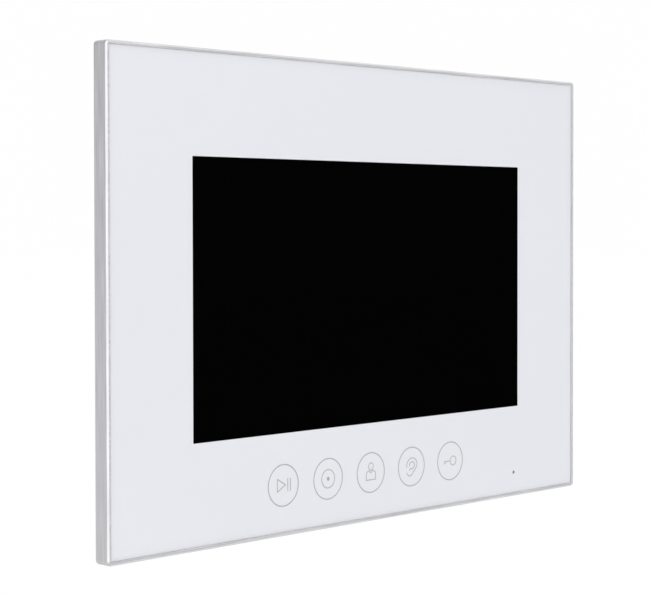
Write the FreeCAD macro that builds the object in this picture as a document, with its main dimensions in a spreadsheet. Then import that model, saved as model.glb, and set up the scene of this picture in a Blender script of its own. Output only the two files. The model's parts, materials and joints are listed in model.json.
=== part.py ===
"""Seven-inch video intercom monitor: glass-fronted touch panel on a steel wall bracket.

X runs to the right as seen from the room, Y runs into the wall and Z runs up. The origin is
the centre of the bracket's back face, on the wall. All sizes are in millimetres.
"""
import FreeCAD, Part
import math
import os
import re
import Sketcher

# Driving dimensions: every one is set by itself and written once.
SIZES = {
    # front frame and glass
    "frame_width": 220.0, "frame_height": 150.0, "frame_depth": 5.7, "frame_wall": 1.15,
    "frame_corner": 1.4, "frame_chamfer": 0.5, "ledge_width": 4.0, "ledge_thickness": 1.1,
    "total_depth": 24.0, "glass_recess": 0.05, "glass_gap": 0.06, "glass_thickness": 0.55,
    "ink_thickness": 0.03, "print_thickness": 0.05, "carrier_thickness": 1.9,
    "tape_thickness": 0.3, "tape_inset": 0.6, "tape_step": 0.5, "tape_margin": 0.2,
    # display module
    "window_width": 154.5, "window_height": 85.6, "display_width": 165.0,
    "display_height": 100.0, "display_depth": 5.7, "display_gap": 0.3, "can_wall": 0.3,
    "can_corner": 1.5, "bezel_lip": 4.0, "cell_thickness": 1.5, "layer_clearance": 0.1,
    "panel_border": 8.0, "panel_recess": 0.4,
    # touch keys and microphone
    "key_pitch": 20.0, "key_rise": 15.9, "ring_diameter": 13.4, "ring_line": 0.35,
    "symbol_line": 0.3, "record_ring": 2.95, "record_dot": 0.65, "bow_ring": 1.55,
    "pad_diameter": 9.0, "pad_hole": 3.2, "pad_clearance": 0.5, "touch_board_gap": 0.25,
    "touch_board_thickness": 1.0, "touch_board_height": 17.0, "touch_board_end": 6.0,
    "led_width": 1.6, "led_height": 0.7, "mic_side": 35.0, "mic_rise": 8.5, "mic_hole": 1.2,
    "mic_diameter": 4.0, "mic_length": 1.4, "mic_boot_wall": 0.5, "boot_clearance": 0.03,
    "touch_board_drop": 1.0,
    # rear housing
    "box_inset": 14.0, "box_wall": 2.0, "box_corner": 8.0,
    "box_round": 3.0, "flange_thickness": 1.6, "flange_gap": 0.2, "wall_gap": 1.0,
    "boss_diameter": 6.0, "vent_width": 1.6, "vent_length": 26.0, "vent_pitch": 3.6,
    "vent_offset": 70.0, "vent_top": 40.0, "label_width": 30.0, "label_height": 38.0,
    "label_depth": 0.3, "label_offset": 68.0, "label_drop": 34.0,
    # housing screws
    "screw_hole": 2.6, "screw_diameter": 2.2, "screw_bite": 2.6, "screw_head": 3.8,
    "screw_head_height": 1.3, "screw_side_inset": 9.6, "screw_row_inset": 9.6,
    "screw_row": 42.0, "screw_corner_inset": 22.0, "screw_recess": 0.45, "thread_clearance": 0.05,
    "pilot_spare": 0.2, "head_overlap": 0.1,
    # wall bracket
    "bracket_thickness": 1.2, "bracket_width": 96.0, "bracket_height": 104.0,
    "bracket_corner": 5.0, "cable_width": 74.0, "cable_height": 44.0, "cable_corner": 3.0,
    "wall_hole": 4.5, "wall_hole_pitch_x": 80.0, "wall_hole_pitch_z": 88.0, "box_slot": 4.2,
    "box_slot_length": 9.0, "box_screw_pitch": 60.0, "hook_width": 12.0, "hook_rise": 3.0,
    "hook_offset": 31.0, "hook_top": 33.0, "hook_bottom": 37.0, "hook_gap": 0.25,
    "hang_clearance": 0.05, "hook_side_gap": 0.5, "lift_room": 3.85,
    # main board and what it carries
    "board_thickness": 1.6, "board_gap": 3.32, "board_side_gap": 4.0, "board_right": 46.0,
    "board_half_height": 44.0, "board_screw_inset": 4.5, "board_screw_diameter": 2.5,
    "board_screw_head": 4.5, "board_screw_head_height": 0.8, "board_screw_bite": 6.0,
    "board_pilot_spare": 1.0, "can_diameter": 6.3, "can_height": 5.4,
    "socket_pitch": 2.5, "socket_depth": 5.8, "socket_tall": 7.0, "socket_wall": 0.8,
    "socket_drop": 4.0, "socket_floor": 1.2, "pin_width": 0.64, "pin_recess": 1.0,
    "ribbon_film": 0.3, "ribbon_seat": 0.9, "ribbon_reach": 2.0, "window_cut_width": 64.0,
    "window_cut_height": 18.0,
    # memory card
    "card_length": 15.0, "card_width": 11.0, "card_thickness": 0.75, "card_drop": 20.0,
    "card_showing": 0.4, "card_clearance": 0.15, "card_socket_length": 14.5,
    "card_socket_width": 13.6, "card_socket_height": 1.9, "card_slot_gap": 0.3,
    # picture and sound dials
    "dial_diameter": 14.0, "dial_thickness": 2.5, "dial_showing": 1.6, "dial_bore": 3.08,
    "dial_shaft": 3.0, "dial_pitch": 17.0, "dial_drop": 31.0, "dial_play": 0.15,
    "dial_notch": 0.5, "dial_slot_gap": 0.4, "dial_base": 6.4, "dial_base_height": 0.8,
    "dial_cap": 5.0, "dial_cap_height": 0.7, "dial_board_width": 17.0, "dial_board_end": 9.0,
    "dial_board_reach": 2.0, "dial_screw_reach": 9.0, "dial_boss": 5.0,
    # loudspeaker
    "speaker_offset": 70.0, "speaker_height": 22.0, "speaker_diameter": 40.0,
    "basket_rim": 3.2, "basket_metal": 0.8, "basket_depth": 4.6, "gasket_thickness": 0.5,
    "yoke_diameter": 17.0, "yoke_metal": 0.8, "yoke_depth": 4.0, "magnet_diameter": 12.0,
    "pole_diameter": 12.4, "pole_thickness": 1.0, "coil_diameter": 13.8, "coil_wall": 0.4,
    "coil_length": 3.7, "surround_width": 3.2, "cone_sheet": 0.3, "surround_sheet": 0.3,
    "speaker_ear": 7.5, "speaker_ear_reach": 2.5, "ear_hole": 2.1, "speaker_post": 4.4,
    "speaker_pilot": 1.9, "speaker_screw": 1.8, "speaker_screw_head": 0.9, "speaker_screw_bite": 1.8,
    "coil_reach": 1.7, "grille_hole": 2.0, "grille_pitch": 3.6,
}

# Levels and places that follow from the driving dimensions. Y grows towards the wall.
PLACES = {
    "key_drop": "frame_height / 2 - key_rise",
    "mic_offset": "frame_width / 2 - mic_side",
    "mic_drop": "frame_height / 2 - mic_rise",
    "box_width": "frame_width - 2 * box_inset",
    "box_height": "frame_height - 2 * box_inset",
    "basket_opening": "speaker_diameter - 2 * basket_rim",
    "cone_diameter": "basket_opening - 2 * surround_width",
    "front": "-total_depth",
    "frame_back": "front + frame_depth",
    "glass_front": "front + glass_recess",
    "glass_back": "glass_front + glass_thickness",
    "print_front": "glass_back + ink_thickness",
    "print_back": "print_front + print_thickness",
    "carrier_back": "print_back + carrier_thickness",
    "ledge_front": "carrier_back + tape_thickness",
    "ledge_back": "ledge_front + ledge_thickness",
    "flange_back": "ledge_back + flange_thickness",
    "display_front": "print_back + tape_thickness",
    "display_back": "display_front + display_depth",
    "board_front": "display_back + board_gap",
    "board_back": "board_front + board_thickness",
    "bracket_front": "-bracket_thickness",
    "box_back": "bracket_front - wall_gap",
    "box_inside": "box_back - box_wall",
    "opening_width": "frame_width - 2 * frame_wall",
    "opening_height": "frame_height - 2 * frame_wall",
    "inner_corner": "frame_corner - frame_wall",
    "pane_width": "opening_width - 2 * glass_gap",
    "pane_height": "opening_height - 2 * glass_gap",
    "flange_width": "opening_width - 2 * flange_gap",
    "flange_height": "opening_height - 2 * flange_gap",
    "inside_width": "box_width - 2 * box_wall",
    "inside_height": "box_height - 2 * box_wall",
    "board_left": "inside_width / 2 - board_side_gap",
    "screw_x": "frame_width / 2 - screw_side_inset",
    "screw_column": "frame_width / 2 - screw_corner_inset",
    "screw_z": "frame_height / 2 - screw_row_inset",
    "touch_front": "carrier_back + touch_board_gap",
    "touch_back": "touch_front + touch_board_thickness",
    "touch_right": "mic_offset + touch_board_end",
    "touch_left": "-2.5 * key_pitch - touch_board_end",
    "boot_diameter": "mic_diameter + 2 * mic_boot_wall",
    "hook_front": "box_inside - hook_gap",
    "hook_slot_height": "lift_room + bracket_thickness + hang_clearance",
    "dial_x": "box_width / 2 + dial_showing - dial_diameter / 2",
    "dial_back": "board_back + dial_base_height + dial_play + dial_thickness",
    "dial_middle": "dial_back - dial_thickness / 2",
    "shaft_end": "dial_back + dial_play + dial_cap_height",
    "card_middle": "board_back + card_socket_height / 2",
    "card_left": "-box_width / 2 - card_showing",
    "card_socket_left": "-board_left + 0.5",
    "rim_back": "box_inside - gasket_thickness",
    "rim_front": "rim_back - basket_metal",
    "basket_floor": "rim_back - basket_depth",
    "socket_back": "board_back + socket_tall",
}

doc = FreeCAD.newDocument("intercom_monitor")
sheet = doc.addObject("Spreadsheet::Sheet", "Sizes")
for row, (alias, size) in enumerate(SIZES.items(), start=1):
    sheet.set(f"A{row}", alias)
    sheet.set(f"B{row}", str(size))
    sheet.setAlias(f"B{row}", alias)
doc.recompute()
places = doc.addObject("App::VarSet", "Places")


def link(text):
    """Expression with each named value written as the cell or the place that holds it."""
    def owner(match):
        word = match.group(0)
        if word in SIZES:
            return "Sizes." + word
        if word in PLACES:
            return "Places." + word
        return word
    return re.sub(r"[a-z]\w+", owner, str(text))


def number(text):
    """Present value of an expression."""
    return float(sheet.evalExpression(link(text)))


for place, rule in PLACES.items():
    places.addProperty("App::PropertyFloat", place, "Places")
    places.setExpression(place, link(rule))
    doc.recompute()

PARTS = []


def new_body(label):
    body = doc.addObject("PartDesign::Body", label)
    body.Label = label
    PARTS.append(body)
    return body


def constrain(sketch, kind, where, rule):
    index = sketch.addConstraint(Sketcher.Constraint(kind, *where, number(rule)))
    sketch.setExpression(f"Constraints[{index}]", link(rule))


def circle(sketch, x, z, diameter):
    centre = FreeCAD.Vector(number(x), number(z), 0)
    edge = sketch.addGeometry(Part.Circle(centre, FreeCAD.Vector(0, 0, 1), number(diameter) / 2))
    constrain(sketch, "Diameter", (edge,), diameter)
    constrain(sketch, "DistanceX", (-1, 1, edge, 3), x)
    constrain(sketch, "DistanceY", (-1, 1, edge, 3), z)


def rectangle(sketch, x, z, width, height):
    half_w, half_h = number(width) / 2, number(height) / 2
    signs = ((-1, -1), (1, -1), (1, 1), (-1, 1))
    corners = [FreeCAD.Vector(number(x) + i * half_w, number(z) + j * half_h, 0) for i, j in signs]
    first = sketch.GeometryCount
    for i in range(4):
        sketch.addGeometry(Part.LineSegment(corners[i], corners[(i + 1) % 4]))
    for i in range(4):
        side = Sketcher.Constraint("Coincident", first + i, 2, first + (i + 1) % 4, 1)
        sketch.addConstraint(side)
        sketch.addConstraint(Sketcher.Constraint("Vertical" if i % 2 else "Horizontal", first + i))
    constrain(sketch, "DistanceX", (first, 1, first, 2), width)
    constrain(sketch, "DistanceY", (first + 1, 1, first + 1, 2), height)
    constrain(sketch, "DistanceX", (-1, 1, first, 1), f"({x}) - ({width}) / 2")
    constrain(sketch, "DistanceY", (-1, 1, first, 1), f"({z}) - ({height}) / 2")


def rounded(sketch, x, z, width, height, radius):
    """Rectangle with round corners, all driven by the same values."""
    r = number(radius)
    half_w, half_h = number(width) / 2, number(height) / 2
    first = sketch.GeometryCount
    for i, (sx, sz) in enumerate(((1, -1), (1, 1), (-1, 1), (-1, -1))):
        cx = number(x) + sx * (half_w - r)
        cz = number(z) + sz * (half_h - r)
        start = math.radians(90 * i - 90)
        ring = Part.Circle(FreeCAD.Vector(cx, cz, 0), FreeCAD.Vector(0, 0, 1), r)
        sketch.addGeometry(Part.ArcOfCircle(ring, start, start + math.pi / 2))
    for i in range(4):
        here, after = sketch.Geometry[first + i], sketch.Geometry[first + (i + 1) % 4]
        sketch.addGeometry(Part.LineSegment(here.EndPoint, after.StartPoint))
    for i in range(4):
        line, after = first + 4 + i, first + (i + 1) % 4
        sketch.addConstraint(Sketcher.Constraint("Tangent", first + i, 2, line, 1))
        sketch.addConstraint(Sketcher.Constraint("Tangent", line, 2, after, 1))
        sketch.addConstraint(Sketcher.Constraint("Horizontal" if i % 2 else "Vertical", line))
        if i:
            sketch.addConstraint(Sketcher.Constraint("Equal", first, first + i))
    constrain(sketch, "Radius", (first,), radius)
    right, top, left, bottom = (first + 4 + i for i in range(4))
    constrain(sketch, "DistanceX", (-1, 1, right, 1), f"({x}) + ({width}) / 2")
    constrain(sketch, "DistanceX", (-1, 1, left, 1), f"({x}) - ({width}) / 2")
    constrain(sketch, "DistanceY", (-1, 1, top, 1), f"({z}) + ({height}) / 2")
    constrain(sketch, "DistanceY", (-1, 1, bottom, 1), f"({z}) - ({height}) / 2")


def outline(sketch, points):
    """Closed outline through points, each an (across, up) pair of expressions."""
    corners = [FreeCAD.Vector(number(x), number(z), 0) for x, z in points]
    count = len(corners)
    first = sketch.GeometryCount
    for i in range(count):
        sketch.addGeometry(Part.LineSegment(corners[i], corners[(i + 1) % count]))
    for i in range(count):
        joint = Sketcher.Constraint("Coincident", first + i, 2, first + (i + 1) % count, 1)
        sketch.addConstraint(joint)
        constrain(sketch, "DistanceX", (-1, 1, first + i, 1), points[i][0])
        constrain(sketch, "DistanceY", (-1, 1, first + i, 1), points[i][1])


def draw(body, name, plane, height, shapes):
    """Sketch on one of the body's own planes, moved along the plane's normal to height."""
    sketch = body.newObject("Sketcher::SketchObject", name + "_sketch")
    support = [item for item in body.Origin.OriginFeatures if item.Role == plane][0]
    sketch.AttachmentSupport = [(support, "")]
    sketch.MapMode = "FlatFace"
    if height is not None:
        sketch.setExpression("AttachmentOffset.Base.z", link(height))
    for make, *values in shapes:
        make(sketch, *values)
    doc.recompute()
    return sketch


def pad(body, name, shapes, rear, depth):
    """Adds material from the level rear forwards by depth."""
    feature = body.newObject("PartDesign::Pad", name)
    feature.Profile = draw(body, name, "XZ_Plane", f"-({rear})", shapes)
    feature.setExpression("Length", link(depth))
    doc.recompute()
    return feature


def cut_feature(body, name, sketch, depth, backwards):
    before = body.Shape.Volume
    feature = body.newObject("PartDesign::Pocket", name)
    feature.Profile = sketch
    feature.Reversed = backwards
    feature.setExpression("Length", link(depth))
    doc.recompute()
    if body.Shape.Volume > before - 1e-6:
        raise RuntimeError(f"{name} cuts nothing")
    return feature


def cut(body, name, shapes, front, depth):
    """Takes material away from the level front rearwards by depth."""
    sketch = draw(body, name, "XZ_Plane", f"-({front})", shapes)
    return cut_feature(body, name, sketch, depth, False)


def side_cut(body, name, shapes, left, depth):
    """Takes material away to the right of the X position left; shapes are in Y and Z."""
    sketch = draw(body, name, "YZ_Plane", left, shapes)
    return cut_feature(body, name, sketch, depth, True)


def turn(label, points, x, z):
    """Round piece about an axis along Y through (x, z); points are (radius, level) pairs."""
    body = new_body(label)
    feature = body.newObject("PartDesign::Revolution", label + "_turn")
    sketch = draw(body, label, "XY_Plane", None, [(outline, points)])
    feature.Profile = sketch
    feature.ReferenceAxis = (sketch, ["V_Axis"])
    feature.Angle = 360
    body.setExpression("Placement.Base.x", link(x))
    body.setExpression("Placement.Base.z", link(z))
    doc.recompute()
    return body


def dress(body, kind, name, size, wanted):
    """Fillet or chamfer on the edges that wanted() picks."""
    base = body.Tip
    edges = [f"Edge{i + 1}" for i, edge in enumerate(base.Shape.Edges) if wanted(edge)]
    feature = body.newObject("PartDesign::" + kind, name)
    feature.Base = (base, edges)
    feature.setExpression("Radius" if kind == "Fillet" else "Size", link(size))
    doc.recompute()
    return feature


def repeat(body, name, feature, axis, count, length=None):
    """Linear pattern over length, or a full polar pattern where length is left out."""
    kind = "PolarPattern" if length is None else "LinearPattern"
    pattern = body.newObject("PartDesign::" + kind, name)
    pattern.Originals = [feature]
    if length is None:
        pattern.Axis = axis
        pattern.Angle = 360
    else:
        pattern.Direction = axis
        pattern.setExpression("Length", link(length))
    pattern.Occurrences = count
    body.Tip = pattern
    doc.recompute()
    return pattern


def block(label, shapes, rear, depth):
    """Plain prism with the outline in the front plane."""
    body = new_body(label)
    pad(body, label + "_pad", shapes, rear, depth)
    return body


def at_level(level, beyond=None):
    """Picks edges that lie in the plane of one level, outside a half width in X or Z."""
    height = number(level)

    def wanted(edge):
        box = edge.BoundBox
        if abs(box.YMin - height) > 1e-4 or abs(box.YMax - height) > 1e-4:
            return False
        if beyond is None:
            return True
        reach_x = max(abs(box.XMin), abs(box.XMax))
        reach_z = max(abs(box.ZMin), abs(box.ZMax))
        return reach_x > number(beyond[0]) or reach_z > number(beyond[1])
    return wanted


def corners(x, z):
    return [(sx + x, sz + z) for sx in ("-", "") for sz in ("-", "")]


# ---------------------------------------------------------------- front
def front_frame():
    body = block("front_frame", [(rounded, "0", "0", "frame_width", "frame_height", "frame_corner")],
                 "frame_back", "frame_depth")
    opening = [(rounded, "0", "0", "opening_width", "opening_height", "inner_corner")]
    through = [(rounded, "0", "0", "opening_width - 2 * ledge_width",
                "opening_height - 2 * ledge_width", "frame_corner")]
    cut(body, "frame_front_opening", opening, "front", "ledge_front - front")
    cut(body, "frame_rear_opening", opening, "ledge_back", "frame_back - ledge_back")
    cut(body, "frame_through_opening", through, "front", "frame_depth")
    rim = ("opening_width / 2 + frame_wall / 2", "opening_height / 2 + frame_wall / 2")
    dress(body, "Chamfer", "frame_front_chamfer", "frame_chamfer", at_level("front", rim))


def front_glass():
    body = block("front_glass", [(rounded, "0", "0", "pane_width", "pane_height", "inner_corner")],
                 "glass_back", "glass_thickness")
    cut(body, "glass_mic_hole", [(circle, "mic_offset", "-mic_drop", "mic_hole")],
        "glass_front", "glass_thickness")


def white_print():
    body = block("white_print", [(rounded, "0", "0", "pane_width", "pane_height", "inner_corner")],
                 "print_back", "print_thickness")
    cut(body, "print_window", [(rectangle, "0", "0", "window_width", "window_height")],
        "print_front", "print_thickness")
    cut(body, "print_mic_hole", [(circle, "mic_offset", "-mic_drop", "mic_hole")],
        "print_front", "print_thickness")


def ring(x, z, radius, line):
    """Printed circle of the given middle radius."""
    depth = number("ink_thickness")
    middle = FreeCAD.Vector(x, number("glass_back"), z)
    along = FreeCAD.Vector(0, 1, 0)
    outer = Part.makeCylinder(radius + line / 2, depth, middle, along)
    return outer.cut(Part.makeCylinder(radius - line / 2, depth, middle, along))


def bar(start, end, line):
    """Straight printed bar with square ends."""
    run = FreeCAD.Vector(end[0] - start[0], 0, end[1] - start[1])
    piece = Part.makeBox(run.Length, number("ink_thickness"), line, FreeCAD.Vector(0, 0, -line / 2))
    turn = -math.degrees(math.atan2(run.z, run.x))
    piece.rotate(FreeCAD.Vector(0, 0, 0), FreeCAD.Vector(0, 1, 0), turn)
    piece.translate(FreeCAD.Vector(start[0], number("glass_back"), start[1]))
    return piece


def printed_line(x, z, steps, line):
    """Printed line about the point (x, z). After the first point, a step of one point is a
    straight run to it, and a step of two points is an arc through the first to the second."""
    steps = [[(x + across, z + up) for across, up in step] for step in steps]
    if len(steps) == 2 and len(steps[1]) == 1:
        return bar(steps[0][0], steps[1][0], line)
    level = number("glass_back")
    places = [[FreeCAD.Vector(across, level, up) for across, up in step] for step in steps]
    edges = []
    start = places[0][0]
    for step in places[1:]:
        curve = Part.LineSegment(start, *step) if len(step) == 1 else Part.Arc(start, *step)
        edges.append(curve.toShape())
        start = step[-1]
    wire = Part.Wire(edges)
    if wire.isClosed():
        outer, inner = (wire.makeOffset2D(side * line / 2, join=0) for side in (1, -1))
        face = Part.Face(outer).cut(Part.Face(inner))
    else:
        face = wire.makeOffset2D(line / 2, join=0, fill=True, openResult=False)
    return face.extrude(FreeCAD.Vector(0, number("ink_thickness"), 0))


# The signs in the five rings, drawn about each ring's centre.
PLAY = [[[(-2.6, -1.9)], [(-2.6, 2.1)], [(0.9, 0.1)], [(-2.6, -1.9)]],
        [[(1.9, -2.0)], [(1.9, 2.1)]],
        [[(3.05, -2.0)], [(3.05, 2.1)]]]
PERSON = [[[(-2.2, -2.4)], [(-2.1, -0.5)], [(-1.8, 0.2), (-0.8, 0.55)], [(0.05, -0.1)],
           [(0.9, 0.55)], [(1.9, 0.2), (2.2, -0.5)], [(2.3, -2.4)], [(-2.2, -2.4)]],
          [[(-0.6, 1.0)], [(-1.05, 2.1), (0.05, 3.25)], [(1.15, 2.1), (0.7, 1.0)],
           [(0.05, 0.75), (-0.6, 1.0)]]]
EAR = [[[(-2.3, -0.1)], [(0.1, 2.9), (2.85, 1.0)], [(2.2, -0.7), (0.8, -1.8)],
        [(-0.6, -3.1), (-2.3, -2.0)]],
       [[(-1.0, 0.3)], [(0.3, 1.6), (1.6, 0.5)], [(1.1, -0.4), (0.2, -0.8)],
        [(-0.5, -0.7), (-0.9, -1.3)]]]
DOOR_KEY = [[[(-0.1, 0.0)], [(-3.2, 0.0)]], [[(-2.9, 0.0)], [(-2.9, -1.0)]], [[(-2.2, 0.0)], [(-2.2, -0.8)]]]


def key_symbols():
    """Five thin rings with a sign in each: play, record, person, listen and door."""
    line = number("symbol_line")
    pitch, level = number("key_pitch"), -number("key_drop")
    radius = number("ring_diameter - ring_line") / 2
    play, record, person, listen, door = (i * pitch for i in range(-2, 3))
    dot = Part.makeCylinder(number("record_dot"), number("ink_thickness"),
                            FreeCAD.Vector(record, number("glass_back"), level),
                            FreeCAD.Vector(0, 1, 0))
    signs = {
        play: [printed_line(play, level, steps, line) for steps in PLAY],
        record: [ring(record, level, number("record_ring"), line), dot],
        person: [printed_line(person, level, steps, line) for steps in PERSON],
        listen: [printed_line(listen, level, steps, line) for steps in EAR],
        door: [ring(door + number("bow_ring"), level, number("bow_ring"), line)]
        + [printed_line(door, level, steps, line) for steps in DOOR_KEY],
    }
    solids = []
    for middle, pieces in signs.items():
        solids.append(ring(middle, level, radius, number("ring_line")))
        sign = pieces[0].multiFuse(pieces[1:]).removeSplitter()
        solids += sign.Solids
    piece = doc.addObject("Part::Feature", "key_symbols")
    piece.Shape = Part.makeCompound(solids)
    piece.Label = "key_symbols"
    PARTS.append(piece)


def key_places():
    return [(f"{i} * key_pitch", "-key_drop") for i in range(-2, 3)]


def screw_places():
    columns = [("-screw_column", sign + "screw_z") for sign in ("-", "")]
    columns += [("screw_column", sign + "screw_z") for sign in ("-", "")]
    return corners("screw_x", "screw_row") + columns


def panel_carrier():
    """Moulded plate behind the glass, with bosses for the housing screws."""
    body = block("panel_carrier", [(rounded, "0", "0", "pane_width", "pane_height",
                                    "inner_corner")], "carrier_back", "carrier_thickness")
    pad(body, "carrier_bosses", [(circle, x, z, "boss_diameter") for x, z in screw_places()],
        "ledge_back", "ledge_back - carrier_back")
    cut(body, "carrier_window", [(rounded, "0", "0", "display_width + 2 * display_gap",
                                  "display_height + 2 * display_gap", "can_corner")],
        "print_back", "carrier_thickness")
    cut(body, "carrier_key_holes",
        [(circle, x, z, "pad_diameter + 2 * pad_clearance") for x, z in key_places()],
        "print_back", "carrier_thickness")
    cut(body, "carrier_mic_port", [(circle, "mic_offset", "-mic_drop", "mic_hole")],
        "print_back", "carrier_thickness")
    cut(body, "carrier_mic_seat", [(circle, "mic_offset", "-mic_drop", "boot_diameter")],
        "carrier_back - mic_length", "mic_length")
    cut(body, "carrier_pilot_holes",
        [(circle, x, z, "screw_diameter + 2 * thread_clearance") for x, z in screw_places()],
        "ledge_back - screw_bite - pilot_spare", "screw_bite + pilot_spare")


def tape_ring(label, outer_w, outer_h, inner_w, inner_h, corner, rear):
    block(label, [(rounded, "0", "0", outer_w, outer_h, corner),
                  (rounded, "0", "0", inner_w, inner_h, corner)], rear, "tape_thickness")


# ---------------------------------------------------------------- display
def display_module():
    bezel = block("display_bezel", [(rounded, "0", "0", "display_width", "display_height",
                                    "can_corner")],
                  "display_back", "display_depth")
    cut(bezel, "bezel_inside", [(rounded, "0", "0", "display_width - 2 * can_wall",
                                 "display_height - 2 * can_wall", "can_corner - can_wall")],
        "display_front + can_wall", "display_depth - can_wall")
    cut(bezel, "bezel_window", [(rectangle, "0", "0", "window_width + bezel_lip",
                                 "window_height + bezel_lip")], "display_front", "can_wall")
    inner_w = "display_width - 2 * can_wall - 2 * layer_clearance"
    inner_h = "display_height - 2 * can_wall - 2 * layer_clearance"
    layer = [(rounded, "0", "0", inner_w, inner_h, "can_corner - can_wall")]
    block("display_cell", layer,
          "display_front + can_wall + cell_thickness", "cell_thickness")
    light = block("backlight_unit", layer, "display_back",
                  "display_depth - can_wall - cell_thickness - layer_clearance")
    cut(light, "backlight_rear_panel", [(rectangle, "0", "0", "display_width - 2 * panel_border",
                                         "display_height - 2 * panel_border")],
        "display_back - panel_recess", "panel_recess")


# ---------------------------------------------------------------- touch board
def touch_board():
    middle = "(touch_left + touch_right) / 2"
    block("touch_board", [(rectangle, middle, "-key_drop - touch_board_drop", "touch_right - touch_left",
                           "touch_board_height")], "touch_back", "touch_board_thickness")
    pads = [(circle, x, z, size) for x, z in key_places() for size in ("pad_diameter", "pad_hole")]
    block("touch_pads", pads, "touch_front", "touch_front - print_back")
    lamps = [(rectangle, x, z, "led_width", "led_width") for x, z in key_places()]
    block("key_lamps", lamps, "touch_front", "led_height")
    turn("microphone_boot",
         [("mic_diameter / 2", "touch_front"), ("mic_diameter / 2", "carrier_back - mic_length"),
          ("boot_diameter / 2 - boot_clearance", "carrier_back - mic_length"),
          ("boot_diameter / 2 - boot_clearance", "touch_front")], "mic_offset", "-mic_drop")
    turn("microphone", [("0", "touch_front"), ("0", "touch_front - mic_length"),
                        ("mic_diameter / 2", "touch_front - mic_length"),
                        ("mic_diameter / 2", "touch_front")], "mic_offset", "-mic_drop")


# ---------------------------------------------------------------- rear housing
def hook_rows():
    return ("hook_top", "-hook_bottom")


def hook_places(drop, height):
    """Rectangles across the four hooks, from drop below each neck's lower face."""
    return [(sign + "hook_offset", f"({row}) - ({drop}) + ({height}) / 2")
            for row in hook_rows() for sign in ("-", "")]


def board_screw_places():
    x_right = "board_right - board_screw_inset"
    x_left = "-board_left + board_screw_inset"
    z = "board_half_height - board_screw_inset"
    return [(x, sign + f"({z})") for x in (x_left, x_right) for sign in ("-", "")]


def speaker_screw_places():
    reach = "(speaker_diameter / 2 + speaker_ear_reach)"
    return [(f"speaker_offset + {reach} * {c}", f"speaker_height + {reach} * {s}")
            for c, s in ((0.7071, 0.7071), (-0.7071, 0.7071), (0.7071, -0.7071), (-0.7071, -0.7071))]


def dial_rows():
    return [f"-dial_drop + {i} * dial_pitch" for i in (1, 0, -1)]


def rear_housing():
    """Moulded back: a flange that closes the frame and a box that holds the boards."""
    body = block("rear_housing", [(rounded, "0", "0", "flange_width", "flange_height",
                                   "inner_corner")], "flange_back", "flange_thickness")
    pad(body, "housing_box", [(rounded, "0", "0", "box_width", "box_height", "box_corner")],
        "box_back", "box_back - ledge_back")
    dress(body, "Fillet", "housing_rear_round", "box_round", at_level("box_back"))
    cut(body, "housing_inside", [(rounded, "0", "0", "inside_width", "inside_height",
                                  "box_corner - box_wall")], "ledge_back", "box_inside - ledge_back")
    pad(body, "board_bosses", [(circle, x, z, "boss_diameter") for x, z in board_screw_places()],
        "box_inside", "box_inside - board_back")
    cut(body, "board_pilot_holes", [(circle, x, z, "board_screw_diameter + 2 * thread_clearance")
                                    for x, z in board_screw_places()],
        "board_back", "board_screw_bite + board_pilot_spare")
    pad(body, "dial_board_bosses",
        [(circle, "dial_x - dial_screw_reach", z, "dial_boss") for z in dial_board_screws()],
        "box_inside", "box_inside - board_back")
    cut(body, "dial_board_pilots",
        [(circle, "dial_x - dial_screw_reach", z, "screw_diameter + 2 * thread_clearance")
         for z in dial_board_screws()], "board_back", "board_screw_bite + board_pilot_spare")
    pad(body, "speaker_posts", [(circle, x, z, "speaker_post") for x, z in speaker_screw_places()],
        "box_inside", "box_inside - rim_front")
    cut(body, "speaker_pilots", [(circle, x, z, "speaker_pilot") for x, z in speaker_screw_places()],
        "rim_front", "speaker_screw_bite + pilot_spare")
    cut(body, "housing_screw_holes", [(circle, x, z, "screw_hole") for x, z in screw_places()],
        "ledge_back", "flange_thickness")
    cut(body, "hook_slots", [(rectangle, x, z, "hook_width + 2 * hook_side_gap",
                              "hook_slot_height")
                             for x, z in hook_places("lift_room", "hook_slot_height")],
        "box_inside", "box_wall")
    cut(body, "socket_window", [(rounded, "0", "-socket_drop", "window_cut_width",
                                 "window_cut_height", "2")], "box_inside", "box_wall")
    for side, name in (("vent_top", "upper"), ("-vent_top + 8 * vent_pitch", "lower")):
        vent = cut(body, f"{name}_vent", [(rectangle, "-vent_offset", side, "vent_length",
                                           "vent_width")], "box_inside", "box_wall")
        sketch = vent.Profile[0]
        repeat(body, f"{name}_vents", vent, (sketch, ["V_Axis"]), 8, "7 * vent_pitch").Reversed = True
        doc.recompute()
    grille(body)
    cut(body, "label_recess", [(rounded, "label_offset", "-label_drop", "label_width",
                                "label_height", "1.5")], "box_back - label_depth", "label_depth")
    slot_length = "dial_diameter * 0.9 + 2 * dial_slot_gap"
    side_cut(body, "dial_slots",
             [(rectangle, "dial_middle", z, "dial_thickness + 2 * dial_slot_gap", slot_length)
              for z in dial_rows()], "inside_width / 2 - dial_slot_gap", "box_wall + dial_slot_gap")
    side_cut(body, "card_slot",
             [(rectangle, "card_middle", "-card_drop", "card_thickness + 2 * card_slot_gap",
               "card_width + 2 * card_slot_gap")], "-box_width / 2", "box_wall")


def dial_board_screws():
    return ("-dial_drop + dial_pitch / 2", "-dial_drop - dial_pitch / 2")


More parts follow.
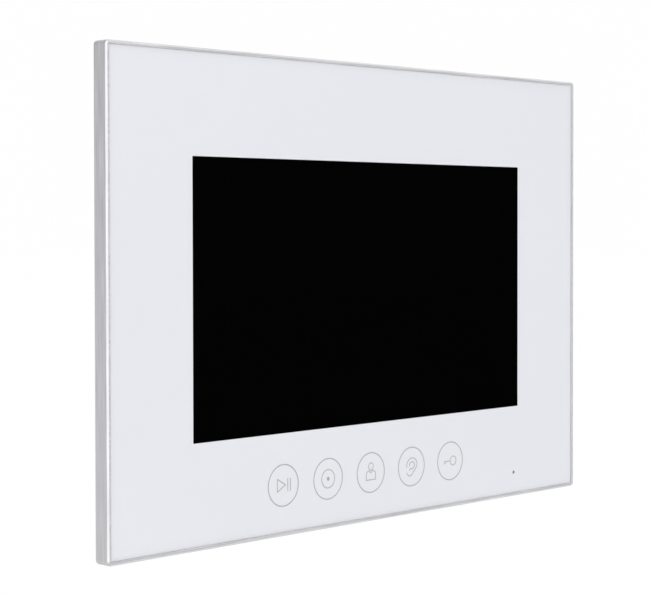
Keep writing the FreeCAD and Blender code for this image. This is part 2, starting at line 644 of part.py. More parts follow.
def grille(body):
    """Rings of round holes over the loudspeaker."""
    cut(body, "grille_middle", [(circle, "speaker_offset", "speaker_height", "grille_hole")],
        "box_inside", "box_wall")
    holes = []
    for step in (1, 2, 3, 4):
        for index in range(6 * step):
            turned = 60 / step * index
            holes.append((circle,
                          f"speaker_offset + {step} * grille_pitch * cos({turned} deg)",
                          f"speaker_height + {step} * grille_pitch * sin({turned} deg)",
                          "grille_hole"))
    cut(body, "grille_rings", holes, "box_inside", "box_wall")


def screws(label, spots, seat, head, head_height, shank, length, to_rear):
    """Group of cross-head screws; to_rear says that the points face the wall."""
    body = new_body(label)
    sign = "-" if to_rear else "+"
    heads = [(circle, x, z, head) for x, z in spots]
    shanks = [(circle, x, z, shank) for x, z in spots]
    if to_rear:
        pad(body, label + "_heads", heads, seat, head_height)
        pad(body, label + "_shanks", shanks, f"({seat}) + ({length})", f"{length} + head_overlap")
        slot_front = f"({seat}) - ({head_height})"
    else:
        pad(body, label + "_heads", heads, f"({seat}) + ({head_height})", head_height)
        pad(body, label + "_shanks", shanks, f"({seat}) + head_overlap", f"{length} + head_overlap")
        slot_front = f"({seat}) + ({head_height}) - ({head_height}) * 0.6"
    arm = f"({head}) * 0.62"
    for name, width, height in (("across", arm, "screw_recess"), ("upright", "screw_recess", arm)):
        cut(body, f"{label}_{name}", [(rectangle, x, z, width, height) for x, z in spots],
            slot_front, f"({head_height}) * 0.6")


# ---------------------------------------------------------------- main board
def on_board(label, spots, width, height, tall):
    """Components standing on the rear of the main board, each a plain package."""
    return block(label, [(rectangle, str(x), str(z), str(width), str(height)) for x, z in spots],
                 f"board_back + {tall}", str(tall))


def main_board():
    board = block("main_board", [(rounded, "(board_right - board_left) / 2", "0",
                                  "board_right + board_left", "2 * board_half_height", "2")],
                  "board_back", "board_thickness")
    cut(board, "board_screw_holes", [(circle, x, z, "board_screw_diameter + 0.4")
                                     for x, z in board_screw_places()],
        "board_front", "board_thickness")
    on_board("processor", [(-28, 24)], 15, 15, 1.4)
    on_board("memory_chips", [(-48, 28), (-48, 14)], 12, 9, 1.1)
    on_board("interface_chips", [(-8, 26), (12, 20), (-62, -22), (36, 10)], 9, 7, 1.6)
    on_board("inductors", [(-70, 32), (-70, 20), (-10, -30)], 7, 7, 4.2)
    on_board("clock_crystal", [(-28, 10)], 5, 3.2, 1.2)
    on_board("ribbon_sockets", [(-10, -40), (20, -40)], 18, 4, 2.0)
    cans = [(-58, -4), (-70, -4), (-56, 36), (20, 34), (4, -32), (14, -24)]
    block("capacitors", [(circle, str(x), str(z), "can_diameter") for x, z in cans],
          "board_back + can_height", "can_height")


SOCKETS = {"door_socket_1": (-20.0, 4), "door_socket_2": (-5.0, 4),
           "extension_socket": (10.0, 4), "power_socket": (22.0, 2)}


def sockets():
    """Pin headers for two door stations, a second monitor and the supply."""
    for label, (x, ways) in SOCKETS.items():
        width = f"({ways} * socket_pitch + 2 * socket_wall + 0.8)"
        body = block(label, [(rectangle, str(x), "-socket_drop", width, "socket_depth")],
                     "socket_back", "socket_tall")
        cut(body, label + "_inside", [(rectangle, str(x), "-socket_drop",
                                       width + " - 2 * socket_wall",
                                       "socket_depth - 2 * socket_wall")],
            "board_back + socket_floor", "socket_tall - socket_floor")
        cut(body, label + "_key_slot", [(rectangle, str(x), "-socket_drop + socket_depth / 2 - 0.3",
                                         "3", "socket_wall * 2")],
            "board_back + 3", "socket_tall - 3")
    pins = [(rectangle, f"{x} + {i - (ways - 1) / 2} * socket_pitch", "-socket_drop",
             "pin_width", "pin_width")
            for x, ways in SOCKETS.values() for i in range(ways)]
    block("socket_pins", pins, "socket_back - pin_recess", "socket_tall - pin_recess - socket_floor")


def ribbon(label, x, width, points):
    """Flat flexible cable bent in the plane of Y and Z."""
    body = new_body(label)
    feature = body.newObject("PartDesign::Pad", label + "_pad")
    feature.Profile = draw(body, label, "YZ_Plane", f"({x}) - ({width}) / 2", [(outline, points)])
    feature.setExpression("Length", link(width))
    doc.recompute()


def ribbons():
    """Both ribbons end in the sockets at the lower edge of the main board."""
    seat, film = "board_back + ribbon_seat", "ribbon_film"
    end = "-board_half_height + ribbon_reach"
    leave, fall = "display_back - 1.8", "-display_height / 2 - 1.4"
    ribbon("display_ribbon", "-10", "16",
           [(f"{leave} + {film}", fall), (seat, fall), (seat, end), (f"{seat} + {film}", end),
            (f"{seat} + {film}", f"{fall} - {film}"), (leave, f"{fall} - {film}"),
            (leave, "-display_height / 2"), (f"{leave} + {film}", "-display_height / 2")])
    fall = "-key_drop + 5"
    ribbon("touch_ribbon", "20", "10",
           [("touch_back", fall), ("touch_back", f"{fall} + {film}"), (seat, f"{fall} + {film}"),
            (seat, end), (f"{seat} + {film}", end), (f"{seat} + {film}", fall)])


# ---------------------------------------------------------------- memory card
def memory_card():
    holder = block("card_socket", [(rectangle, "card_socket_left + card_socket_length / 2",
                                    "-card_drop", "card_socket_length", "card_socket_width")],
                   "board_back + card_socket_height", "card_socket_height")
    side_cut(holder, "card_socket_mouth",
             [(rectangle, "card_middle", "-card_drop", "card_thickness + card_clearance",
               "card_width + 2 * card_clearance")], "card_socket_left", "card_socket_length - 0.6")
    card = block("memory_card", [(rectangle, "card_left + card_length / 2", "-card_drop",
                                  "card_length", "card_width")],
                 "card_middle + card_thickness / 2", "card_thickness")
    cut(card, "card_notch", [(rectangle, "card_left + card_length - 3", "-card_drop + card_width / 2",
                              "6", "1.6")], "card_middle - card_thickness / 2", "card_thickness")


# ---------------------------------------------------------------- dials
def dials():
    board = block("dial_board", [(rectangle, "dial_x - dial_board_width / 2 + dial_board_reach",
                                  "-dial_drop",
                                  "dial_board_width", "2 * dial_pitch + 2 * dial_board_end")],
                  "board_back", "board_thickness")
    cut(board, "dial_board_holes", [(circle, "dial_x - dial_screw_reach", z, "screw_hole")
                                    for z in dial_board_screws()], "board_front", "board_thickness")
    posts = block("dial_posts", [(circle, "dial_x", z, "dial_base") for z in dial_rows()],
                  "board_back + dial_base_height", "dial_base_height")
    pad(posts, "dial_shafts", [(circle, "dial_x", z, "dial_shaft") for z in dial_rows()],
        "shaft_end", "shaft_end - board_back")
    pad(posts, "dial_caps", [(circle, "dial_x", z, "dial_cap") for z in dial_rows()],
        "shaft_end", "dial_cap_height")
    for label, z in zip(("volume_dial", "brightness_dial", "contrast_dial"), dial_rows()):
        body = new_body(label)
        pad(body, label + "_disc", [(circle, "0", "0", "dial_diameter")],
            "dial_back", "dial_thickness")
        cut(body, label + "_bore", [(circle, "0", "0", "dial_bore")],
            "dial_back - dial_thickness", "dial_thickness")
        notch = cut(body, label + "_notch", [(circle, "dial_diameter / 2 + dial_notch / 4", "0",
                                              "2 * dial_notch")],
                    "dial_back - dial_thickness", "dial_thickness")
        repeat(body, label + "_notches", notch, (notch.Profile[0], ["N_Axis"]), 30)
        body.setExpression("Placement.Base.x", link("dial_x"))
        body.setExpression("Placement.Base.z", link(z))
        doc.recompute()


# ---------------------------------------------------------------- loudspeaker
def loudspeaker():
    spot = ("speaker_offset", "speaker_height")
    metal = "basket_metal"
    rim, mouth = "speaker_diameter / 2", "basket_opening / 2"
    floor_r = "yoke_diameter / 2 - yoke_metal - 0.1"
    turn("speaker_gasket", [(mouth, "rim_back"), (rim, "rim_back"), (rim, "box_inside"),
                            (mouth, "box_inside")], *spot)
    basket = turn("speaker_basket",
                  [(mouth, "rim_back"), (rim, "rim_back"), (rim, "rim_front"),
                   (f"{mouth} + {metal}", "rim_front"),
                   (f"{mouth} - 2", "basket_floor"), (floor_r, "basket_floor"),
                   (floor_r, f"basket_floor + {metal}"),
                   (f"{mouth} - 2 - {metal}", f"basket_floor + {metal}"),
                   (mouth, f"rim_front + {metal} / 2")], *spot)
    ears = [(circle, f"({x}) - speaker_offset", f"({z}) - speaker_height", "speaker_ear")
            for x, z in speaker_screw_places()]
    pad(basket, "basket_ears", ears, "rim_front", metal)
    cut(basket, "basket_ear_holes",
        [(circle, f"({x}) - speaker_offset", f"({z}) - speaker_height", "ear_hole")
         for x, z in speaker_screw_places()], f"rim_front - {metal}", metal)
    yoke, inner = "yoke_diameter / 2", "yoke_diameter / 2 - yoke_metal"
    bottom = "basket_floor - yoke_depth"
    turn("speaker_yoke", [("0", bottom), (yoke, bottom), (yoke, "basket_floor"),
                          (inner, "basket_floor"), (inner, f"{bottom} + yoke_metal"),
                          ("0", f"{bottom} + yoke_metal")], *spot)
    turn("speaker_magnet", [("0", f"{bottom} + yoke_metal"),
                            ("magnet_diameter / 2", f"{bottom} + yoke_metal"),
                            ("magnet_diameter / 2", "basket_floor - pole_thickness"),
                            ("0", "basket_floor - pole_thickness")], *spot)
    turn("speaker_pole", [("0", "basket_floor - pole_thickness"),
                          ("pole_diameter / 2", "basket_floor - pole_thickness"),
                          ("pole_diameter / 2", "basket_floor"), ("0", "basket_floor")], *spot)
    coil_out, coil_in = "coil_diameter / 2", "coil_diameter / 2 - coil_wall"
    coil_end = "basket_floor + coil_reach"
    turn("voice_coil", [(coil_in, coil_end), (coil_in, f"{coil_end} - coil_length"),
                        (coil_out, f"{coil_end} - coil_length"), (coil_out, coil_end)], *spot)
    lip = f"rim_front + {metal} / 2 + 0.05"
    turn("speaker_cone", [("0", f"{coil_end} + 1.3"), ("0", f"{coil_end} + 1.0"),
                          (coil_in, coil_end), (coil_out, coil_end),
                          ("cone_diameter / 2", f"{lip} - cone_sheet"), ("cone_diameter / 2", lip),
                          ("cone_diameter / 2 - 0.6", lip), (coil_out, f"{coil_end} + cone_sheet"),
                          (f"{coil_out} - 0.7", f"{coil_end} + cone_sheet")], *spot)
    turn("speaker_surround", [("cone_diameter / 2 - 0.5", lip), (f"{mouth} - 0.02", lip),
                              (f"{mouth} - 0.02", f"{lip} + surround_sheet"),
                              ("cone_diameter / 2 + 1.4", f"{lip} + 2 * surround_sheet"),
                              ("cone_diameter / 2 - 0.5", f"{lip} + surround_sheet")], *spot)


# ---------------------------------------------------------------- wall bracket
def wall_bracket():
    """Stamped steel plate with four hooks that point up."""
    body = block("wall_bracket", [(rounded, "0", "0", "bracket_width", "bracket_height",
                                   "bracket_corner")], "0", "bracket_thickness")
    cut(body, "cable_opening", [(rounded, "0", "0", "cable_width", "cable_height", "cable_corner")],
        "bracket_front", "bracket_thickness")
    holes = corners("wall_hole_pitch_x / 2", "wall_hole_pitch_z / 2")
    cut(body, "wall_holes", [(circle, x, z, "wall_hole") for x, z in holes],
        "bracket_front", "bracket_thickness")
    slots = [(rounded, "0", sign + "box_screw_pitch / 2", "box_slot", "box_slot_length",
              "box_slot / 2 - 0.001") for sign in ("-", "")]
    cut(body, "box_screw_slots", slots, "bracket_front", "bracket_thickness")
    neck = "bracket_front - hook_front"
    blank = f"{neck} + bracket_thickness + hook_rise"
    windows = [(rectangle, x, z, "hook_width + 1", blank)
               for x, z in hook_places("-bracket_thickness", blank)]
    cut(body, "hook_blank_windows", windows, "bracket_front", "bracket_thickness")
    necks = [(rectangle, x, z, "hook_width", "bracket_thickness")
             for x, z in hook_places("0", "bracket_thickness")]
    pad(body, "hook_necks", necks, "0", "-hook_front")
    lips = [(rectangle, x, z, "hook_width", "bracket_thickness + hook_rise")
            for x, z in hook_places("0", "bracket_thickness + hook_rise")]
    pad(body, "hook_lips", lips, "hook_front", "bracket_thickness")


wall_bracket()
front_frame()
front_glass()
white_print()
key_symbols()
panel_carrier()
tape_ring("frame_tape", "pane_width - 2 * tape_margin", "pane_height - 2 * tape_margin",
          "opening_width - 2 * ledge_width + 2 * tape_inset",
          "opening_height - 2 * ledge_width + 2 * tape_inset", "inner_corner", "ledge_front")
tape_ring("display_tape", "display_width - 2 * tape_margin", "display_height - 2 * tape_margin",
          "window_width + 2 * tape_step", "window_height + 2 * tape_step", "tape_step",
          "display_front")
display_module()
touch_board()
rear_housing()
screws("housing_screws", screw_places(), "flange_back", "screw_head", "screw_head_height",
       "screw_diameter", "flange_thickness + screw_bite", False)
main_board()
screws("board_screws", board_screw_places(), "board_front", "board_screw_head",
       "board_screw_head_height", "board_screw_diameter", "board_thickness + board_screw_bite", True)
sockets()
ribbons()
memory_card()
dials()
screws("dial_board_screws", [("dial_x - dial_screw_reach", z) for z in dial_board_screws()],
       "board_front",
       "screw_head", "board_screw_head_height", "screw_diameter",
       "board_thickness + board_screw_bite", True)
loudspeaker()
screws("speaker_screws", speaker_screw_places(), "rim_front - basket_metal", "screw_head",
       "speaker_screw_head", "speaker_screw", "basket_metal + speaker_screw_bite", True)

doc.recompute()
for item in doc.Objects:
    if "Invalid" in item.State or "Error" in item.State:
        raise RuntimeError(f"{item.Label} failed: {item.State}")
os.makedirs("parts", exist_ok=True)
for piece in PARTS:
    if piece.Shape.isNull() or not piece.Shape.isValid():
        raise RuntimeError(f"{piece.Label} has a bad shape")
for piece in PARTS:
    piece.Shape.exportStep(f"parts/{piece.Label}.step")
    print(piece.Label, len(piece.Shape.Solids), round(piece.Shape.Volume, 2))
print(len(PARTS), "nodes")
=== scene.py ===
"""Studio scene of a wall-mounted video intercom monitor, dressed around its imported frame.

Metres throughout. X runs to the right as seen from the room, Y into the wall and Z up.
"""

import json
import math

import bmesh
import bpy
from mathutils import Matrix, Vector


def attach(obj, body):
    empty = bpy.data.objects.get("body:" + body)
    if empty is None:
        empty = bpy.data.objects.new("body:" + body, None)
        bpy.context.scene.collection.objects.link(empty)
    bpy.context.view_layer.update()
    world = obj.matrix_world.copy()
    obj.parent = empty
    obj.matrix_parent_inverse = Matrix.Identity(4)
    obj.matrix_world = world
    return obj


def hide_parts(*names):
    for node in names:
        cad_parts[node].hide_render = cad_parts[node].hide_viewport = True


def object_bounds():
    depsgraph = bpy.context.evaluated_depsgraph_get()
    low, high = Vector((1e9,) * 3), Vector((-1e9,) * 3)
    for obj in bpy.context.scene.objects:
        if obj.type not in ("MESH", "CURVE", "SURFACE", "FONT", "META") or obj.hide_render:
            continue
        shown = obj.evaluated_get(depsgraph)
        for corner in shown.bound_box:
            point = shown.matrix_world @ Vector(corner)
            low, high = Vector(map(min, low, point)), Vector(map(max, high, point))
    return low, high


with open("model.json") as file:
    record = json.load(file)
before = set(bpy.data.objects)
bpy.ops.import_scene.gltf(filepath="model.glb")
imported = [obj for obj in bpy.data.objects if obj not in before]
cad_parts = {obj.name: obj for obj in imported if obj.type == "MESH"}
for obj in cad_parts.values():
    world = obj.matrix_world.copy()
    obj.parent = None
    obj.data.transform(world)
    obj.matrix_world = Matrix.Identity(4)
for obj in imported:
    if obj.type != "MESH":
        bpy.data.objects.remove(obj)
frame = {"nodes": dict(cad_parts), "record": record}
cad_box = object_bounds()
NODES = frame["nodes"]
BODY_OF = {node: body for body, names in frame["record"]["behaviour"]["bodies"].items()
           for node in names}
MM = 0.001
FRONT_Y = cad_box[0][1]


# ------------------------------------------------------------------ materials
class Finish:
    """A named material with its Principled shader and short calls for its node tree."""

    def __init__(self, name, color, roughness, metallic=0.0):
        self.material = bpy.data.materials.new(name)
        self.material.use_nodes = True
        self.tree = self.material.node_tree
        self.shader = self.tree.nodes["Principled BSDF"]
        self.shader.inputs["Base Color"].default_value = (*color, 1.0)
        self.shader.inputs["Roughness"].default_value = roughness
        self.shader.inputs["Metallic"].default_value = metallic
        self.color = color

    def add(self, kind, **values):
        node = self.tree.nodes.new("ShaderNode" + kind)
        for key, value in values.items():
            if key in node.inputs:
                node.inputs[key].default_value = value
            else:
                setattr(node, key, value)
        return node

    def join(self, output, target):
        self.tree.links.new(output, target)

    def place(self, scale=(1, 1, 1)):
        """Object coordinates, stretched by scale."""
        mapping = self.add("Mapping")
        mapping.inputs["Scale"].default_value = scale
        self.join(self.add("TexCoord").outputs["Object"], mapping.inputs["Vector"])
        return mapping.outputs["Vector"]

    def noise(self, scale, detail=2.0, stretch=(1, 1, 1)):
        node = self.add("TexNoise", Scale=scale, Detail=detail)
        self.join(self.place(stretch), node.inputs["Vector"])
        return node.outputs["Fac"]

    def ramp(self, factor, low, high, start=0.3, end=0.7):
        """Value or colour that runs from low to high as factor runs from start to end."""
        node = self.add("ValToRGB")
        node.color_ramp.elements[0].position = start
        node.color_ramp.elements[1].position = end
        for element, value in zip(node.color_ramp.elements, (low, high)):
            element.color = (*value, 1.0) if isinstance(value, tuple) else (value,) * 3 + (1.0,)
        self.join(factor, node.inputs["Fac"])
        return node.outputs["Color"]

    def tint(self, factor, spread):
        """Lets the base colour wander by spread above and below its own value."""
        low = tuple(channel * (1 - spread) for channel in self.color)
        high = tuple(min(1.0, channel * (1 + spread)) for channel in self.color)
        self.join(self.ramp(factor, low, high), self.shader.inputs["Base Color"])

    def gloss(self, factor, low, high):
        self.join(self.ramp(factor, low, high), self.shader.inputs["Roughness"])

    def bump(self, factor, strength, distance):
        node = self.add("Bump", Strength=strength, Distance=distance)
        self.join(factor, node.inputs["Height"])
        self.join(node.outputs["Normal"], self.shader.inputs["Normal"])


def plastic(name, color, roughness, grain=0.00035, depth=0.00002, spread=0.03):
    """Moulded plastic with a fine spark-eroded grain and a slow change of tone."""
    finish = Finish(name, color, roughness)
    finish.tint(finish.noise(35, 3), spread)
    finish.gloss(finish.noise(1 / grain / 4, 2), roughness - 0.05, roughness + 0.08)
    finish.bump(finish.noise(1 / grain, 2), 0.35, depth)
    return finish.material


def metal(name, color, roughness, stretch=(1, 1, 1), scale=900, depth=0.000004):
    """Plain metal whose roughness and tone wander along one direction."""
    finish = Finish(name, color, roughness, 1.0)
    grain = finish.noise(scale, 3, stretch)
    finish.tint(grain, 0.06)
    finish.gloss(finish.noise(scale / 2, 2, stretch), roughness - 0.06, roughness + 0.1)
    finish.bump(grain, 0.3, depth)
    return finish.material


def brushed_aluminium():
    """Frame finish: streaks run along each side, the chamfer is cut bright, the lip is satin."""
    along, across = 60, 2600
    chamfer_facing = 0.707
    finish = Finish("brushed_aluminium", (0.80, 0.80, 0.81), 0.3, 1.0)
    normal = finish.add("SeparateXYZ")
    finish.join(finish.add("NewGeometry").outputs["Normal"], normal.inputs["Vector"])

    def size_of(axis):
        node = finish.add("Math", operation="ABSOLUTE")
        finish.join(normal.outputs[axis], node.inputs[0])
        return node.outputs[0]

    def choose_value(factor, low, high):
        node = finish.add("Mix", data_type="FLOAT")
        for value, socket in zip((factor, low, high), (node.inputs[0], node.inputs[2], node.inputs[3])):
            if isinstance(value, float):
                socket.default_value = value
            else:
                finish.join(value, socket)
        return node.outputs[0]

    upright = finish.add("Math", operation="GREATER_THAN")
    upright.inputs[1].default_value = 0.5
    finish.join(size_of("X"), upright.inputs[0])
    grain = choose_value(upright.outputs[0], finish.noise(1, 4, (along, across, across)),
                         finish.noise(1, 4, (across, across, along)))
    finish.join(finish.ramp(grain, (0.73, 0.73, 0.745), (0.92, 0.92, 0.925)),
                finish.shader.inputs["Base Color"])

    # How far a face turns from the chamfer's 45 degrees, from 0 on the chamfer itself.
    slope = finish.add("Math", operation="MULTIPLY")
    slope.inputs[1].default_value = 2.0
    facing = finish.add("Math", operation="SUBTRACT")
    facing.inputs[1].default_value = chamfer_facing
    away = finish.add("Math", operation="ABSOLUTE")
    finish.join(size_of("Y"), facing.inputs[0])
    finish.join(facing.outputs[0], away.inputs[0])
    finish.join(away.outputs[0], slope.inputs[0])

    front_lip = finish.ramp(size_of("Y"), 0.0, 1.0, 0.9, 0.95)
    satin = choose_value(front_lip, finish.ramp(grain, 0.46, 0.60), finish.ramp(grain, 0.66, 0.80))
    polish = choose_value(finish.ramp(slope.outputs[0], 0.0, 1.0, 0.1, 0.3), 0.16, satin)
    finish.join(polish, finish.shader.inputs["Roughness"])
    finish.bump(grain, 0.25, 0.000006)
    return finish.material


def clear_glass():
    """Thin clear pane: straight through, with a surface reflection that grows edge-on."""
    face_on_share, edge_on_gain, steepness = 0.02, 0.48, 5.0
    material = bpy.data.materials.new("clear_glass")
    material.use_nodes = True
    nodes, links = material.node_tree.nodes, material.node_tree.links
    nodes.clear()
    output = nodes.new("ShaderNodeOutputMaterial")
    blend = nodes.new("ShaderNodeMixShader")
    see_through = nodes.new("ShaderNodeBsdfTransparent")
    see_through.inputs["Color"].default_value = (0.997, 0.998, 0.998, 1)
    gloss = nodes.new("ShaderNodeBsdfGlossy")
    gloss.inputs["Roughness"].default_value = 0.03
    edge_on = nodes.new("ShaderNodeLayerWeight")
    steep = nodes.new("ShaderNodeMath")
    steep.operation = "POWER"
    steep.inputs[1].default_value = steepness
    share = nodes.new("ShaderNodeMath")
    share.operation = "MULTIPLY_ADD"
    share.inputs[1].default_value = edge_on_gain
    share.inputs[2].default_value = face_on_share
    links.new(edge_on.outputs["Facing"], steep.inputs[0])
    links.new(steep.outputs[0], share.inputs[0])
    links.new(share.outputs[0], blend.inputs[0])
    links.new(see_through.outputs[0], blend.inputs[1])
    links.new(gloss.outputs[0], blend.inputs[2])
    links.new(blend.outputs[0], output.inputs[0])
    return material


def circuit_board():
    """Green solder mask over copper tracks, with plated holes."""
    finish = Finish("circuit_board", (0.012, 0.16, 0.07), 0.28)
    tracks = finish.add("TexBrick", Scale=220.0)
    tracks.inputs["Mortar Size"].default_value = 0.03
    tracks.inputs["Color1"].default_value = (0.010, 0.13, 0.055, 1)
    tracks.inputs["Color2"].default_value = (0.012, 0.16, 0.07, 1)
    tracks.inputs["Mortar"].default_value = (0.03, 0.26, 0.12, 1)
    turn = finish.add("Mapping")
    turn.inputs["Rotation"].default_value = (math.radians(90), 0, 0)
    finish.join(finish.add("TexCoord").outputs["Object"], turn.inputs["Vector"])
    finish.join(turn.outputs["Vector"], tracks.inputs["Vector"])
    finish.join(tracks.outputs["Color"], finish.shader.inputs["Base Color"])
    finish.bump(tracks.outputs["Fac"], 0.4, 0.00003)
    return finish.material


def white_print():
    """Cool white back print with a barely visible cloudiness."""
    finish = Finish("white_print", (0.90, 0.905, 0.94), 0.5)
    finish.tint(finish.noise(14, 3), 0.006)
    return finish.material


def dark_display():
    """Switched-off display: near black, with faint rows of picture elements."""
    finish = Finish("dark_display", (0.0012, 0.0012, 0.0014), 0.35)
    finish.shader.inputs["Specular IOR Level"].default_value = 0.0
    rows = finish.add("TexWave", Scale=900.0)
    finish.join(finish.place(), rows.inputs["Vector"])
    finish.join(finish.ramp(rows.outputs["Fac"], (0.0007, 0.0007, 0.0009), (0.0016, 0.0016, 0.0019)),
                finish.shader.inputs["Base Color"])
    return finish.material


FINISHES = {
    "brushed_aluminium": brushed_aluminium(),
    "clear_glass": clear_glass(),
    "white_enamel": white_print(),
    "grey_ink": plastic("grey_ink", (0.46, 0.47, 0.48), 0.5, depth=0.000001),
    "white_plastic": plastic("white_plastic", (0.78, 0.78, 0.77), 0.45),
    "black_tape": plastic("black_tape", (0.02, 0.02, 0.02), 0.8),
    "thin_steel": metal("thin_steel", (0.62, 0.63, 0.64), 0.32),
    "display_black": dark_display(),
    "circuit_board": circuit_board(),
    "black_rubber": plastic("black_rubber", (0.02, 0.02, 0.02), 0.7, spread=0.2),
    "lamp_resin": plastic("lamp_resin", (0.8, 0.75, 0.45), 0.25),
    "screw_steel": metal("screw_steel", (0.66, 0.66, 0.64), 0.25),
    "zinc_steel": metal("zinc_steel", (0.62, 0.63, 0.65), 0.34, (1, 1, 0.06), 700),
    "chip_black": plastic("chip_black", (0.02, 0.02, 0.022), 0.55),
    "socket_nylon": plastic("socket_nylon", (0.76, 0.73, 0.64), 0.42),
    "socket_red": plastic("socket_red", (0.5, 0.03, 0.02), 0.42),
    "pin_metal": metal("pin_metal", (0.75, 0.66, 0.40), 0.25),
    "capacitor_can": metal("capacitor_can", (0.70, 0.71, 0.72), 0.28),
    "ribbon_film": plastic("ribbon_film", (0.45, 0.20, 0.03), 0.3),
    "card_black": plastic("card_black", (0.02, 0.02, 0.02), 0.45),
    "dial_plastic": plastic("dial_plastic", (0.05, 0.05, 0.055), 0.5),
    "magnet_black": metal("magnet_black", (0.2, 0.2, 0.21), 0.4),
    "copper_wire": metal("copper_wire", (0.75, 0.32, 0.15), 0.3, (1, 20, 1)),
    "cone_paper": plastic("cone_paper", (0.03, 0.03, 0.03), 0.8, 0.0008, 0.00005, 0.25),
}
SLOT_OF = {entry["node"]: entry["material_slot"] for entry in frame["record"]["subparts"]}
for node, finish_name in SLOT_OF.items():
    for material_slot in NODES[node].material_slots:
        material_slot.material = FINISHES[finish_name]


# ------------------------------------------------------------------ softened copies
def softened(node, width):
    """Copy of a CAD node with merged faces and small rounds on its sharp edges."""
    shape = bmesh.new()
    shape.from_mesh(NODES[node].data)
    bmesh.ops.remove_doubles(shape, verts=shape.verts, dist=1e-6)
    bmesh.ops.dissolve_limit(shape, angle_limit=math.radians(0.5), verts=shape.verts,
                             edges=shape.edges)
    mesh = bpy.data.meshes.new(node + "_finished")
    shape.to_mesh(mesh)
    shape.free()
    mesh.materials.append(NODES[node].material_slots[0].material)
    piece = bpy.data.objects.new(node + "_finished", mesh)
    bpy.context.scene.collection.objects.link(piece)
    mesh.shade_smooth()
    bevel = piece.modifiers.new("rounds", "BEVEL")
    bevel.width = width
    bevel.segments = 2
    bevel.limit_method = "ANGLE"
    bevel.angle_limit = math.radians(30)
    bevel.use_clamp_overlap = True
    level = piece.modifiers.new("level_faces", "WEIGHTED_NORMAL")
    level.mode = "FACE_AREA"
    level.weight = 100
    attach(piece, BODY_OF[node])
    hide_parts(node)


ROUNDS = {
    0.06 * MM: ["front_frame"],
    0.15 * MM: ["rear_housing", "wall_bracket"],
    0.08 * MM: ["volume_dial", "brightness_dial", "contrast_dial", "memory_card"],
    0.1 * MM: ["door_socket_1", "door_socket_2", "extension_socket", "power_socket"],
}
for width, nodes in ROUNDS.items():
    for node in nodes:
        softened(node, width)


# ------------------------------------------------------------------ camera
YAW, PITCH, ROLL = math.radians(45.457), math.radians(1.217), math.radians(-0.09)
EYE = Vector((-0.42433, FRONT_Y - 0.39624, 0.02222))
LENS, SENSOR_WIDTH, SHIFT_Y = 97.986, 36.0, -0.05338


def place_camera():
    """Long lens to the left of the front, nearly level with it and turned half way to it."""
    data = bpy.data.cameras.new("camera")
    data.sensor_width = SENSOR_WIDTH
    data.lens = LENS
    data.shift_y = SHIFT_Y
    data.clip_start = 0.01
    camera = bpy.data.objects.new("camera", data)
    turn = (Matrix.Rotation(-YAW, 4, "Z") @ Matrix.Rotation(math.radians(90) - PITCH, 4, "X")
            @ Matrix.Rotation(ROLL, 4, "Z"))
    camera.matrix_world = Matrix.Translation(EYE) @ turn
    bpy.context.scene.collection.objects.link(camera)
    bpy.context.scene.camera = camera


place_camera()


# ------------------------------------------------------------------ studio
def softbox(name, place, size, power, target=(0, -0.02, 0)):
    """Square area light that faces the target: its side in metres, its power in watts."""
    data = bpy.data.lights.new(name, "AREA")
    data.size = size
    data.energy = power
    light = bpy.data.objects.new(name, data)
    light.location = place
    light.visible_camera = False
    light.rotation_euler = (Vector(target) - Vector(place)).to_track_quat("-Z", "Y").to_euler()
    bpy.context.scene.collection.objects.link(light)


softbox("key", (-1.0, -1.15, 0.7), 3.1, 13.8)
softbox("side", (-1.4, 1.2, -0.6), 1.6, 0.5)
softbox("top", (0.8, -0.3, 1.5), 1.8, 2.2)
softbox("under", (0.9, -0.3, -0.58), 1.4, 0.8, target=(0.9, -0.3, 1))
softbox("fill", (1.3, -1.2, 1.3), 1.0, 1.2)


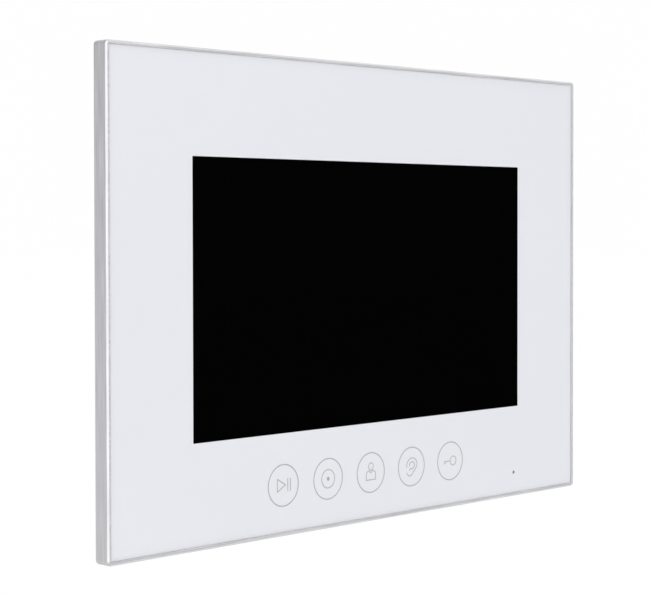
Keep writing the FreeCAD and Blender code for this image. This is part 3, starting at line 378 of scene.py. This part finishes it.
def room_light():
    """World: soft light on matt surfaces, a dimmer room in reflections and a pale backdrop."""
    world = bpy.data.worlds.new("studio")
    bpy.context.scene.world = world
    world.use_nodes = True
    tree = world.node_tree

    def grey(*color):
        node = tree.nodes.new("ShaderNodeBackground")
        node.inputs["Color"].default_value = (*color, 1)
        return node.outputs[0]

    def choose(factor, low, high):
        node = tree.nodes.new("ShaderNodeMixShader")
        for output, target in zip((factor, low, high), node.inputs):
            tree.links.new(output, target)
        return node.outputs[0]

    def towards(direction, start, full):
        """Runs from 0 to 1 as a ray turns to the direction: start and full are cosines."""
        aim = tree.nodes.new("ShaderNodeVectorMath")
        aim.operation = "DOT_PRODUCT"
        aim.inputs[1].default_value = direction
        rays_out = tree.nodes.new("ShaderNodeTexCoord").outputs["Generated"]
        tree.links.new(rays_out, aim.inputs[0])
        near = tree.nodes.new("ShaderNodeMapRange")
        near.inputs["From Min"].default_value = start
        near.inputs["From Max"].default_value = full
        tree.links.new(aim.outputs["Value"], near.inputs["Value"])
        return near.outputs[0]

    # A dim corner behind the upper left shades the frame's side, and a black flag to the front
    # right keeps the pane clear.
    dim_corner = towards((-0.60, 0.60, 0.53), 0.68, 0.94)
    black_flag = towards((0.70, -0.71, 0.0), 0.95, 0.985)
    mirrored = choose(dim_corner, grey(0.70, 0.70, 0.71), grey(0.40, 0.40, 0.41))
    mirrored = choose(black_flag, mirrored, grey(0.0, 0.0, 0.0))
    rays = tree.nodes.new("ShaderNodeLightPath").outputs
    room = choose(rays["Is Glossy Ray"], grey(0.60, 0.60, 0.62), mirrored)
    backdrop = choose(rays["Is Camera Ray"], room, grey(0.995, 0.995, 0.995))
    tree.links.new(backdrop, tree.nodes["World Output"].inputs[0])


def pale_floor():
    """Plain pale floor far below the wall-hung monitor, as bright as the backdrop."""
    half_width, level = 30, -0.6
    shape = bmesh.new()
    bmesh.ops.create_grid(shape, x_segments=1, y_segments=1, size=half_width)
    bmesh.ops.translate(shape, verts=shape.verts, vec=(0, 0, level))
    mesh = bpy.data.meshes.new("floor")
    shape.to_mesh(mesh)
    shape.free()
    floor = bpy.data.objects.new("floor", mesh)
    floor.visible_glossy = False
    bpy.context.scene.collection.objects.link(floor)
    finish = Finish("pale_floor", (0.12, 0.12, 0.12), 0.95)
    finish.shader.inputs["Specular IOR Level"].default_value = 0.0
    finish.shader.inputs["Emission Color"].default_value = (1, 1, 1, 1)
    finish.shader.inputs["Emission Strength"].default_value = 0.925
    finish.tint(finish.noise(3, 2), 0.01)
    mesh.materials.append(finish.material)


room_light()
pale_floor()
bpy.context.scene.view_settings.view_transform = "Standard"
